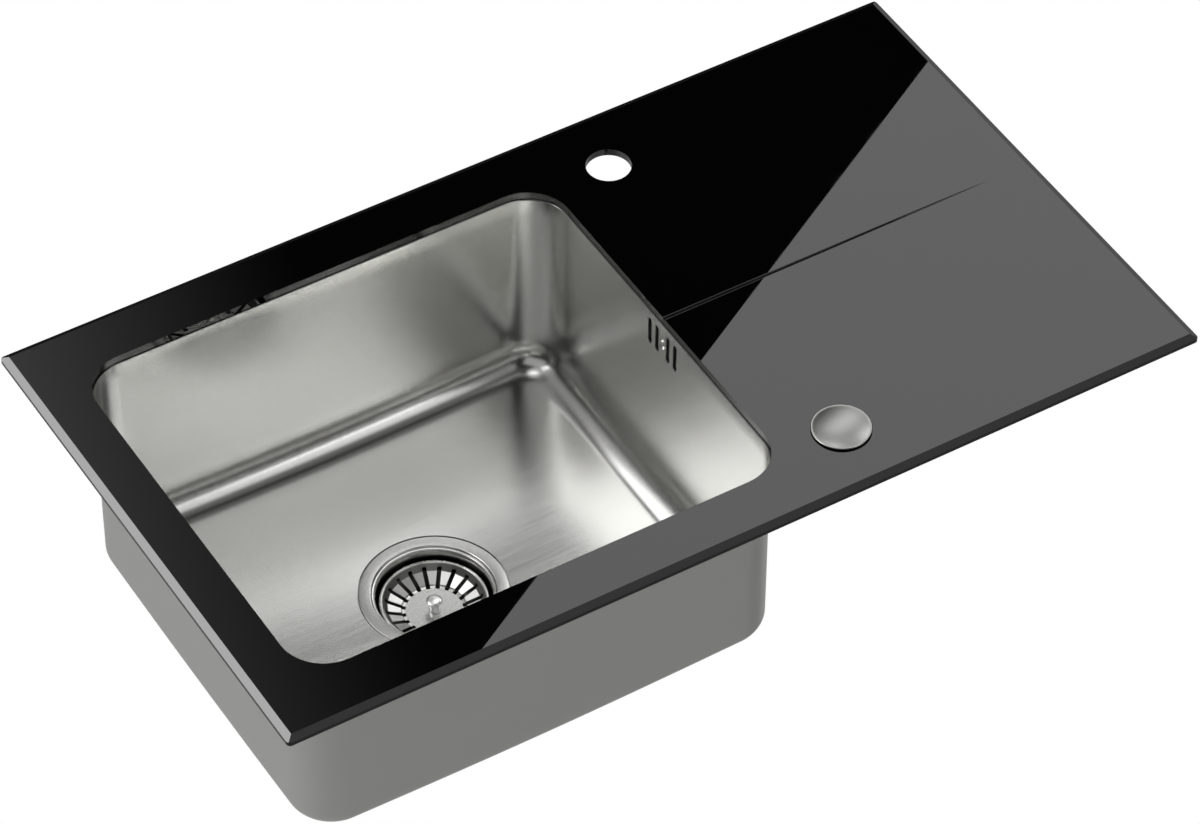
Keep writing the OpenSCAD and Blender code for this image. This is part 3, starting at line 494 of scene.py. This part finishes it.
def perimeter(half_w, half_d, r):
    """Points and outward normals round a rounded rectangle, from the right side anticlockwise."""
    stations = []
    corners = [(1, 1), (-1, 1), (-1, -1), (1, -1)]
    for k, (sx, sy) in enumerate(corners):
        centre = Vector((sx * (half_w - r), sy * (half_d - r)))
        for i in range(ARC_STEPS + 1):
            a = math.radians(90 * k + 90 * i / ARC_STEPS)
            n = Vector((math.cos(a), math.sin(a)))
            stations.append((centre + n * r, n))
        nx, ny = corners[(k + 1) % 4]
        a = math.radians(90 * k + 90)
        n = Vector((math.cos(a), math.sin(a)))
        p = stations[-1][0]
        q = Vector((nx * (half_w - r), ny * (half_d - r))) + n * r
        for i in range(1, SIDE_STEPS):
            stations.append((p.lerp(q, i / SIDE_STEPS), n))
    return stations


def floor_height(rho, drop):
    return deck_z - drop + FLOOR_SLOPE * (rho - DISH_R)


def level_ring(stations, out, z):
    return [Vector((p.x + n.x * out, p.y + n.y * out, z)) for p, n in stations]


def bowl_rings(offset):
    """Rings of points of one skin, from the rim's outer edge down to the drain hole."""
    half_w, half_d, r = BOWL_W + offset, BOWL_D + offset, BOWL_R + offset
    f = FILLET + offset if offset else INNER_FILLET
    stations = perimeter(half_w, half_d, r)
    top = rim_top - offset
    edge = EDGE_R + (SHEET - offset)
    rings = [level_ring(stations, out, top) for out in (RIM - offset, RIM * 0.5, edge + 0.2 * MM)]
    for i in range(LIP_STEPS + 1):
        a = math.radians(90 * i / LIP_STEPS)
        rings.append(level_ring(stations, edge * (1 - math.sin(a)), top - edge * (1 - math.cos(a))))
    # Centre, outward normal, floor tilt and centre height of the fillet at each station
    arcs = []
    for p, n in stations:
        centre = p - n * f
        tilt = math.atan(FLOOR_SLOPE * max(0.0, n.dot(centre.normalized())))
        end = centre + n * f * math.sin(tilt)
        arcs.append((centre, n, tilt, floor_height(end.length, offset) + f * math.cos(tilt)))
    for i in range(1, WALL_STEPS + 1):
        t = i / WALL_STEPS
        rings.append([Vector((p.x, p.y, (top - edge) * (1 - t) + z * t))
                      for (p, n), (_, _, _, z) in zip(stations, arcs)])
    for i in range(1, FILLET_STEPS + 1):
        ring = []
        for centre, n, tilt, z in arcs:
            a = (math.pi / 2 - tilt) * i / FILLET_STEPS
            spot = centre + n * f * math.cos(a)
            ring.append(Vector((spot.x, spot.y, z - f * math.sin(a))))
        rings.append(ring)
    last = rings[-1]
    for i in range(1, FLOOR_STEPS + 1):
        ring = []
        for v in last:
            flat = Vector((v.x, v.y))
            spot = flat.lerp(flat.normalized() * DISH_R, i / FLOOR_STEPS)
            ring.append(Vector((spot.x, spot.y, floor_height(spot.length, offset))))
        rings.append(ring)
    hole = rings[-1]
    for radius in (DISH_R + offset, HOLE_R):
        ring = []
        for v in hole:
            flat = Vector((v.x, v.y)).normalized() * radius
            ring.append(Vector((flat.x, flat.y, deck_z - offset - RECESS)))
        rings.append(ring)
    return rings


# Overflow slots in the right wall: height, width and length, and their places from the middle
OVERFLOW_Z = -20.3 * MM
SLOT_W = 5.0 * MM
SLOT_LEN = 25.5 * MM
SLOT_YS = [y * MM for y in (-17.4, -7.5, 7.5, 17.4)]
SLOT_STEPS = 8


def slot_prism(y, x0, x1):
    """Upright slot with round ends, as a prism along X."""
    outline = []
    for end, start in ((1, 0), (-1, 180)):
        for i in range(SLOT_STEPS + 1):
            a = math.radians(start + 180 * i / SLOT_STEPS)
            z = OVERFLOW_Z + end * (SLOT_LEN - SLOT_W) / 2 + SLOT_W / 2 * math.sin(a)
            outline.append((y + SLOT_W / 2 * math.cos(a), z))
    return prism(outline, (x0, x1), lambda p, x: (x, *p))


def make_bowl():
    inner, outer = bowl_rings(0.0), bowl_rings(SHEET)
    columns = len(inner[0])
    count = len(inner) * columns
    verts = [v + Vector((drain_x, drain_y, 0)) for ring in inner + outer for v in ring]
    faces = grid_faces(len(inner), columns) + grid_faces(len(outer), columns, count, flip=True)
    for row in (0, len(inner) - 1):
        for j in range(columns):
            a, b = row * columns + j, row * columns + (j + 1) % columns
            face = (a, a + count, b + count, b)
            faces.append(face if row == 0 else face[::-1])
    bowl = mesh_object("bowl_sheet", verts, faces, "bowl_steel", "sink", 40)
    wall_x = drain_x + BOWL_W
    for y in SLOT_YS:
        subtract(bowl, *slot_prism(drain_y + y, wall_x - 5 * MM, wall_x + 5 * MM))
    bowl.data.set_sharp_from_angle(angle=math.radians(40))
    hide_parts("bowl")


make_bowl()


# Strainer: cup, basket and knob, turned about the drain's axis; heights in millimetres

DECK = deck_z / MM
DRAIN = (drain_x, drain_y)
CUP_FLOOR = cup_low.z / MM + 2.2
PLATE = DECK - 20.1
# Slots in the basket's cone: their count, half width, ends by radius and rounding
BASKET_SLOTS = 20
BASKET_SLOT_HALF = 1.7
BASKET_SLOT_ENDS = (37.5, 21.6)
BASKET_SLOT_STEPS = 6
BASKET_SLOT_ROUND = 0.6


def round_drain(share):
    """Matrix that turns about the drain's axis by a share of a full turn."""
    turn = Matrix.Rotation(2 * math.pi * share, 4, "Z")
    return Matrix.Translation((drain_x, drain_y, 0)) @ turn


def make_cup():
    line = [(57, DECK - 1.3), (57, DECK, 0.9), (47.4, DECK, 1.1), (46.5, DECK - 1.7, 0.3),
            (45.2, DECK - 1.8, 0.9), (44.2, DECK - 4.5, 3), (44.2, CUP_FLOOR + 9, 4),
            (34, CUP_FLOOR, 3), (20, CUP_FLOOR)]
    cup = turned("cup_sheet", sheet_outline(line, 0.7), "polished_steel", "sink", DRAIN, 192)
    line = [(4.8, CUP_FLOOR - 3), (8, CUP_FLOOR - 3, 0.4), (8, CUP_FLOOR, 0.5),
            (4.8, CUP_FLOOR, 0.3)]
    hub = turned("cup_hub", solid_outline(line), "polished_steel", "sink", DRAIN, 64)
    low = (7 * MM, -2 * MM, (CUP_FLOOR - 3) * MM)
    high = (21 * MM, 2 * MM, (CUP_FLOOR - 0.7) * MM)
    bars = [brick(low, high, round_drain(k / 3)) for k in range(3)]
    spokes = mesh_object("cup_spokes", *join_shapes(*bars), "polished_steel", "sink")
    for piece in (cup, hub, spokes):
        piece.data.materials[0] = CUP_STEEL
        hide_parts("strainer_cup")


def make_basket():
    line = [(41.5, DECK - 11.0), (41.5, DECK - 9.3, 1.0), (39.2, DECK - 9.3, 0.8),
            (35.5, DECK - 14.65, 0.7), (25.2, DECK - 18.7, 0.7), (24.2, DECK - 20.0, 0.5),
            (22.4, PLATE, 0.3), (3.2, PLATE)]
    basket = turned("basket_sheet", sheet_outline(line, 0.6), "polished_steel", "strainer_basket",
                    DRAIN, 240, flats=(BASKET_SLOTS, 24.4, 36.4))
    outline = []
    for end, sign in zip(BASKET_SLOT_ENDS, (1, -1)):
        for i in range(BASKET_SLOT_STEPS + 1):
            a = math.radians(-90 * sign + 180 * i / BASKET_SLOT_STEPS)
            outline.append((end + BASKET_SLOT_ROUND * (math.cos(a) - sign),
                            BASKET_SLOT_HALF * math.sin(a)))
    verts, faces = prism(outline, (DECK - 23, DECK - 12),
                         lambda p, z: Vector((p[0] * MM, p[1] * MM, z * MM)))
    shapes = []
    for k in range(BASKET_SLOTS):
        turn = round_drain(k / BASKET_SLOTS)
        shapes.append(([turn @ v for v in verts], faces))
    subtract(basket, *join_shapes(*shapes))
    basket.data.set_sharp_from_angle(angle=math.radians(35))
    basket.data.materials[0] = BASKET_STEEL
    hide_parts("basket")


def make_knob():
    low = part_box("basket_knob")[0][2] / MM
    head = DECK - 10.6
    line = [(0.02, low), (3, low), (3, PLATE + 0.05), (4.4, PLATE + 0.05, 0.2),
            (3.85, PLATE + 0.9, 0.6), (3.75, head - 0.2, 0.6), (6.0, head, 0.2),
            (6.25, head + 0.9, 0.5), (4.6, head + 1.9, 3.0), (0.02, head + 2.3)]
    knob = turned("knob_turned", solid_outline(line, 8), "polished_steel", "strainer_basket",
                  DRAIN, 96, 50)
    knob.data.materials[0] = KNOB_STEEL
    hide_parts("basket_knob")


make_cup()
make_basket()
make_knob()


# Push control's cap: a low round cap with a narrow rim and a shallow finger dish

cap_low, cap_high = (Vector(c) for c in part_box("control_cap"))
CAP_R = (cap_high.x - cap_low.x) / 2 / MM
CAP_Z, CAP_TOP = cap_low.z / MM, cap_high.z / MM
CONTROL = ((cap_low.x + cap_high.x) / 2, (cap_low.y + cap_high.y) / 2)
# Depth of the dish as a share of the cap's height, and how much its shading bends, per metre
CAP_DISH_DEPTH = 0.4
CAP_DISH_BEND = 4.2
CAP_DISH_STEPS = 30


def make_cap():
    dish_r, depth = CAP_R - 1.5, (CAP_TOP - CAP_Z) * CAP_DISH_DEPTH
    curve = (dish_r ** 2 + depth ** 2) / 2 / depth
    widest = math.asin(dish_r / curve)
    line = solid_outline([(0.02, CAP_Z), (CAP_R, CAP_Z, 0.15), (CAP_R, CAP_TOP - 0.35, 0.2),
                          (CAP_R - 0.4, CAP_TOP, 0.2), (dish_r + 0.2, CAP_TOP - 0.02, 0.1)])
    for i in range(1, CAP_DISH_STEPS + 1):
        a = widest * (1 - i / CAP_DISH_STEPS)
        height = CAP_TOP - depth + curve * (1 - math.cos(a))
        line.append(Vector((max(curve * math.sin(a), 0.02), height)))
    cap = turned("cap_turned", line, "satin_metal", "control", CONTROL, 144, 50)
    cap.data.materials[0] = dished_metal("cap_metal", CONTROL, dish_r * MM, CAP_DISH_BEND)
    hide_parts("control_cap")


make_cap()


# Overflow screw: a round head with a cross recess, on the right wall

screw_low, screw_high = (Vector(c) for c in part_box("overflow_screw"))
SCREW_SKIRT = 0.7
SCREW_DOME_STEPS = 12


def make_screw():
    y, z = (screw_low.y + screw_high.y) / 2, (screw_low.z + screw_high.z) / 2
    r = (screw_high.y - screw_low.y) / 2 / MM
    length = (screw_high.x - screw_low.x) / MM
    head_height = (drain_x + BOWL_W - screw_low.x) / MM
    seat = length - head_height
    skirt = seat + SCREW_SKIRT
    outline = solid_outline([(0.02, 0), (2, 0), (2, seat), (r - 0.1, seat, 0.1), (r, skirt, 0.4)])
    for i in range(1, SCREW_DOME_STEPS + 1):
        a = math.radians(90 * i / SCREW_DOME_STEPS)
        outline.append(Vector((max(r * math.cos(a), 0.02),
                               skirt + (head_height - SCREW_SKIRT) * math.sin(a))))
    head = turned("screw_turned", outline, "polished_steel", "sink", (0, 0), 48, 50)
    low = (-2.4 * MM, -0.6 * MM, (length - 1.6) * MM)
    high = (2.4 * MM, 0.6 * MM, (length + 1) * MM)
    for turn in (30, 120):
        subtract(head, *brick(low, high, Matrix.Rotation(math.radians(turn), 4, "Z")))
    lie = Matrix.Rotation(math.radians(-90), 4, "Y")
    head.data.transform(Matrix.Translation((screw_high.x, y, z)) @ lie)
    head.data.set_sharp_from_angle(angle=math.radians(40))
    head.data.materials[0] = SCREW_STEEL
    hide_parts("overflow_screw")


make_screw()


# Groove: its two ground edges, as fine beads that taper with it; sizes in millimetres

GROOVE_W, GROOVE_DEPTH = 3.0, 1.3
GROOVE_FROM, GROOVE_TO = -50.6, 238.2
BEAD_R, BEAD_DROP, BEAD_OUT = 0.3, 0.2, 0.05
BEAD_TAPER = 0.6
BEAD_SHARE = 0.97
BEAD_STEPS, BEAD_SIDES = 40, 10


def make_groove_edges():
    cutter = ((GROOVE_W / 2) ** 2 + GROOVE_DEPTH ** 2) / 2 / GROOVE_DEPTH
    shapes = []
    for side in (-1, 1):
        verts = []
        for i in range(BEAD_STEPS + 1):
            t = i / BEAD_STEPS * BEAD_SHARE
            depth = GROOVE_DEPTH * (1 - t)
            half = math.sqrt(max(cutter ** 2 - (cutter - depth) ** 2, 0))
            size = 1 - BEAD_TAPER * t
            x = (GROOVE_FROM + (GROOVE_TO - GROOVE_FROM) * t) * MM
            for k in range(BEAD_SIDES):
                a = 2 * math.pi * k / BEAD_SIDES
                y = side * (half + BEAD_OUT) + BEAD_R * size * math.cos(a)
                z = -BEAD_DROP * size + BEAD_R * size * math.sin(a)
                verts.append(Vector((x, drain_y + y * MM, glass_top_z + z * MM)))
        faces = grid_faces(BEAD_STEPS + 1, BEAD_SIDES)
        last = BEAD_STEPS * BEAD_SIDES
        faces += [tuple(range(BEAD_SIDES))[::-1], tuple(range(last, last + BEAD_SIDES))]
        shapes.append((verts, faces))
    edges = mesh_object("groove_edges", *join_shapes(*shapes), "black_glass", "sink", 60)
    edges.data.materials[0] = GROUND_EDGE


make_groove_edges()


# Stage: a floor far below, a world that only the camera sees, and a card seen in reflections

FLOOR_Z, FLOOR_SIZE = -0.9, 30


def floor_paper(name):
    """Grey paper that looks white to the camera, and is clear when seen from below."""
    mat, tree = new_material(name)
    out = tree.nodes.new("ShaderNodeOutputMaterial")
    diffuse = tree.nodes.new("ShaderNodeBsdfDiffuse")
    diffuse.inputs["Color"].default_value = (0.6, 0.6, 0.6, 1)
    glow = tree.nodes.new("ShaderNodeEmission")
    glow.inputs["Color"].default_value = (1, 1, 1, 1)
    glow.inputs["Strength"].default_value = 1.0
    path = tree.nodes.new("ShaderNodeLightPath")
    paper = tree.nodes.new("ShaderNodeMixShader")
    tree.links.new(path.outputs["Is Camera Ray"], paper.inputs[0])
    tree.links.new(diffuse.outputs[0], paper.inputs[1])
    tree.links.new(glow.outputs[0], paper.inputs[2])
    side = tree.nodes.new("ShaderNodeNewGeometry")
    clear = tree.nodes.new("ShaderNodeBsdfTransparent")
    sheet = tree.nodes.new("ShaderNodeMixShader")
    tree.links.new(side.outputs["Backfacing"], sheet.inputs[0])
    tree.links.new(paper.outputs[0], sheet.inputs[1])
    tree.links.new(clear.outputs[0], sheet.inputs[2])
    tree.links.new(sheet.outputs[0], out.inputs[0])
    return mat


bpy.ops.mesh.primitive_plane_add(size=FLOOR_SIZE, location=(0, 0, FLOOR_Z))
floor = bpy.context.object
floor.name = "floor"
floor.data.materials.append(floor_paper("floor_paper"))


def make_world():
    """White to the camera and dark to everything else, so that the black glass stays black."""
    world = bpy.data.worlds.new("studio")
    scene.world = world
    world.use_nodes = True
    tree = world.node_tree
    tree.nodes.clear()
    out = tree.nodes.new("ShaderNodeOutputWorld")
    back = tree.nodes.new("ShaderNodeBackground")
    back.inputs["Color"].default_value = (1, 1, 1, 1)
    path = tree.nodes.new("ShaderNodeLightPath")
    tree.links.new(path.outputs["Is Camera Ray"], back.inputs["Strength"])
    tree.links.new(back.outputs[0], out.inputs[0])


make_world()


# The card's place in metres, its strength, and how it fades: across a slant, to the right
CARD_LOW, CARD_HIGH, CARD_Z = (0.1, 1.2), (1.0, 3.2), 2.44
CARD_STRENGTH, CARD_POWER = 0.75, 1.7
CARD_SLANT, CARD_SLANT_FROM = 0.26, 2.3


def glow_card():
    """Soft card over the back left that only reflections see."""
    x0, y0, x1, y1 = *CARD_LOW, *CARD_HIGH
    mesh = bpy.data.meshes.new("glow_card")
    corners = [(x0, y0, CARD_Z), (x1, y0, CARD_Z), (x1, y1, CARD_Z), (x0, y1, CARD_Z)]
    mesh.from_pydata(corners, [], [(0, 3, 2, 1)])
    card = bpy.data.objects.new("glow_card", mesh)
    scene.collection.objects.link(card)
    mat, tree = new_material("glow_card")
    spot = place(tree)
    lean = maths(tree, "MULTIPLY", maths(tree, "SUBTRACT", CARD_SLANT_FROM, spot["Y"]), CARD_SLANT)
    fade = ramp(tree, maths(tree, "ADD", spot["X"], lean), 0.92, 0.47, 0.0, 1.0)
    start = ramp(tree, spot["X"], 0.1, 0.45, 0.0, 1.0)
    path = tree.nodes.new("ShaderNodeLightPath")
    seen = maths(tree, "MULTIPLY", start, path.outputs["Is Glossy Ray"])
    power = maths(tree, "MULTIPLY", maths(tree, "POWER", fade, CARD_POWER), seen)
    light = tree.nodes.new("ShaderNodeEmission")
    tree.links.new(maths(tree, "MULTIPLY", power, CARD_STRENGTH), light.inputs["Strength"])
    clear = tree.nodes.new("ShaderNodeBsdfTransparent")
    both = tree.nodes.new("ShaderNodeAddShader")
    tree.links.new(light.outputs[0], both.inputs[0])
    tree.links.new(clear.outputs[0], both.inputs[1])
    out = tree.nodes.new("ShaderNodeOutputMaterial")
    tree.links.new(both.outputs[0], out.inputs[0])
    mesh.materials.append(mat)


glow_card()


# Lamps, each a soft rectangle given in metres and as a radiance

def area_light(name, width, height, radiance, matrix):
    data = bpy.data.lights.new(name, "AREA")
    data.shape = "RECTANGLE"
    data.size = width
    data.size_y = height
    data.energy = radiance * width * height * math.pi
    obj = bpy.data.objects.new(name, data)
    scene.collection.objects.link(obj)
    obj.matrix_world = matrix


# The main lamp is a flat panel above; its long edge is the slanting edge of light on the glass
PANEL_Z = 2.5
PANEL_LENGTH, PANEL_WIDTH, PANEL_RADIANCE = 2.4, 0.7333, 2.34
# How far the panel's edge begins before its measured point edge_b
PANEL_LEAD = 0.8


def main_panel():
    edge_a = Vector((1.9070, 2.2147, PANEL_Z))
    edge_b = Vector((0.7834, 1.5676, PANEL_Z))
    along = (edge_a - edge_b).normalized()
    across = Vector((along.y, -along.x, 0))
    centre = edge_b + along * (PANEL_LENGTH / 2 - PANEL_LEAD) + across * PANEL_WIDTH / 2
    turn = Matrix((along, -across, Vector((0, 0, 1)))).transposed().to_4x4()
    area_light("panel_main", PANEL_LENGTH, PANEL_WIDTH, PANEL_RADIANCE,
               Matrix.Translation(centre) @ turn)


main_panel()

# The other lamps stand round the sink and face its middle
MIDDLE = Vector((-0.1, -0.16, 0))
DISTANCE = 3.0
# Name, compass angle, height angle, width, height and radiance
LAMPS = (
    ("back_left", 138, 42, 3.0, 2.2, 1.66),
    ("back_left_high", 138, 55, 1.2, 0.8, 1.26),
    ("back_left_slim", 112, 42, 0.7, 1.0, 0.66),
    ("left_back", 162, 35, 0.8, 0.8, 7.8),
    ("back", 74, 37, 0.6, 0.4, 6.97),
    ("back_right", 66, 31, 0.5, 0.4, 2.37),
    ("back_middle", 97, 40, 0.6, 0.5, 1.2),
    ("back_low", 120, 22, 1.0, 1.0, 0.17),
    ("top", 140, 80, 0.9, 0.9, 1.53),
    ("left_high", 180, 72, 1.2, 1.2, 0.54),
    ("right", 45, 15, 0.6, 0.5, 8.94),
    ("right_back", 54, 28, 0.5, 0.4, 1.08),
    ("right_side", 30, 20, 0.6, 0.5, 1.95),
    ("right_low", 30, 8, 1.2, 1.0, 0.27),
    ("front_left", 215, 45, 3.0, 1.6, 0.42),
    ("front_low", 270, 18, 1.6, 0.6, 2.39),
    ("front", 297, 34, 0.6, 0.5, 2.24),
    ("front_band", 303, 51, 0.8, 0.9, 0.76),
    ("front_right", 308, 40, 1.6, 1.0, 0.73),
    ("front_right_slim", 318, 46, 0.6, 0.5, 0.78),
    ("front_soft", 320, 62, 1.5, 1.4, 0.14),
)
for name, compass, lift, width, height, radiance in LAMPS:
    a, e = math.radians(compass), math.radians(lift)
    outward = Vector((math.cos(e) * math.cos(a), math.cos(e) * math.sin(a), math.sin(e)))
    turn = (-outward).to_track_quat("-Z", "Y").to_matrix().to_4x4()
    area_light(name, width, height, radiance,
               Matrix.Translation(MIDDLE + outward * DISTANCE) @ turn)


# Camera at the photograph's viewpoint, solved from the edges of the glass

PHOTO_WIDTH, FOCAL_PIXELS = 1200, 5556.086
SENSOR = 36
VIEW_RIGHT = Vector((0.85498625, -0.51862733, 0.0049207))
VIEW_DOWN = Vector((-0.36852885, -0.61416162, -0.69784812))
VIEW_AHEAD = Vector((0.36494521, 0.59483712, -0.71622887))
# From the middle of the glass's top, in millimetres
EYE = Vector((-1504.32, -2451.21, 2881.74))


def make_camera():
    data = bpy.data.cameras.new("camera")
    cam = bpy.data.objects.new("camera", data)
    scene.collection.objects.link(cam)
    spot = Vector((glass_mid.x, glass_mid.y, glass_top_z)) + EYE * MM
    turn = Matrix((VIEW_RIGHT, -VIEW_DOWN, -VIEW_AHEAD)).transposed().to_4x4()
    cam.matrix_world = Matrix.Translation(spot) @ turn
    data.sensor_width = SENSOR
    data.lens = FOCAL_PIXELS * SENSOR / PHOTO_WIDTH
    data.clip_end = 60
    scene.camera = cam


make_camera()
scene.view_settings.view_transform = "Standard"
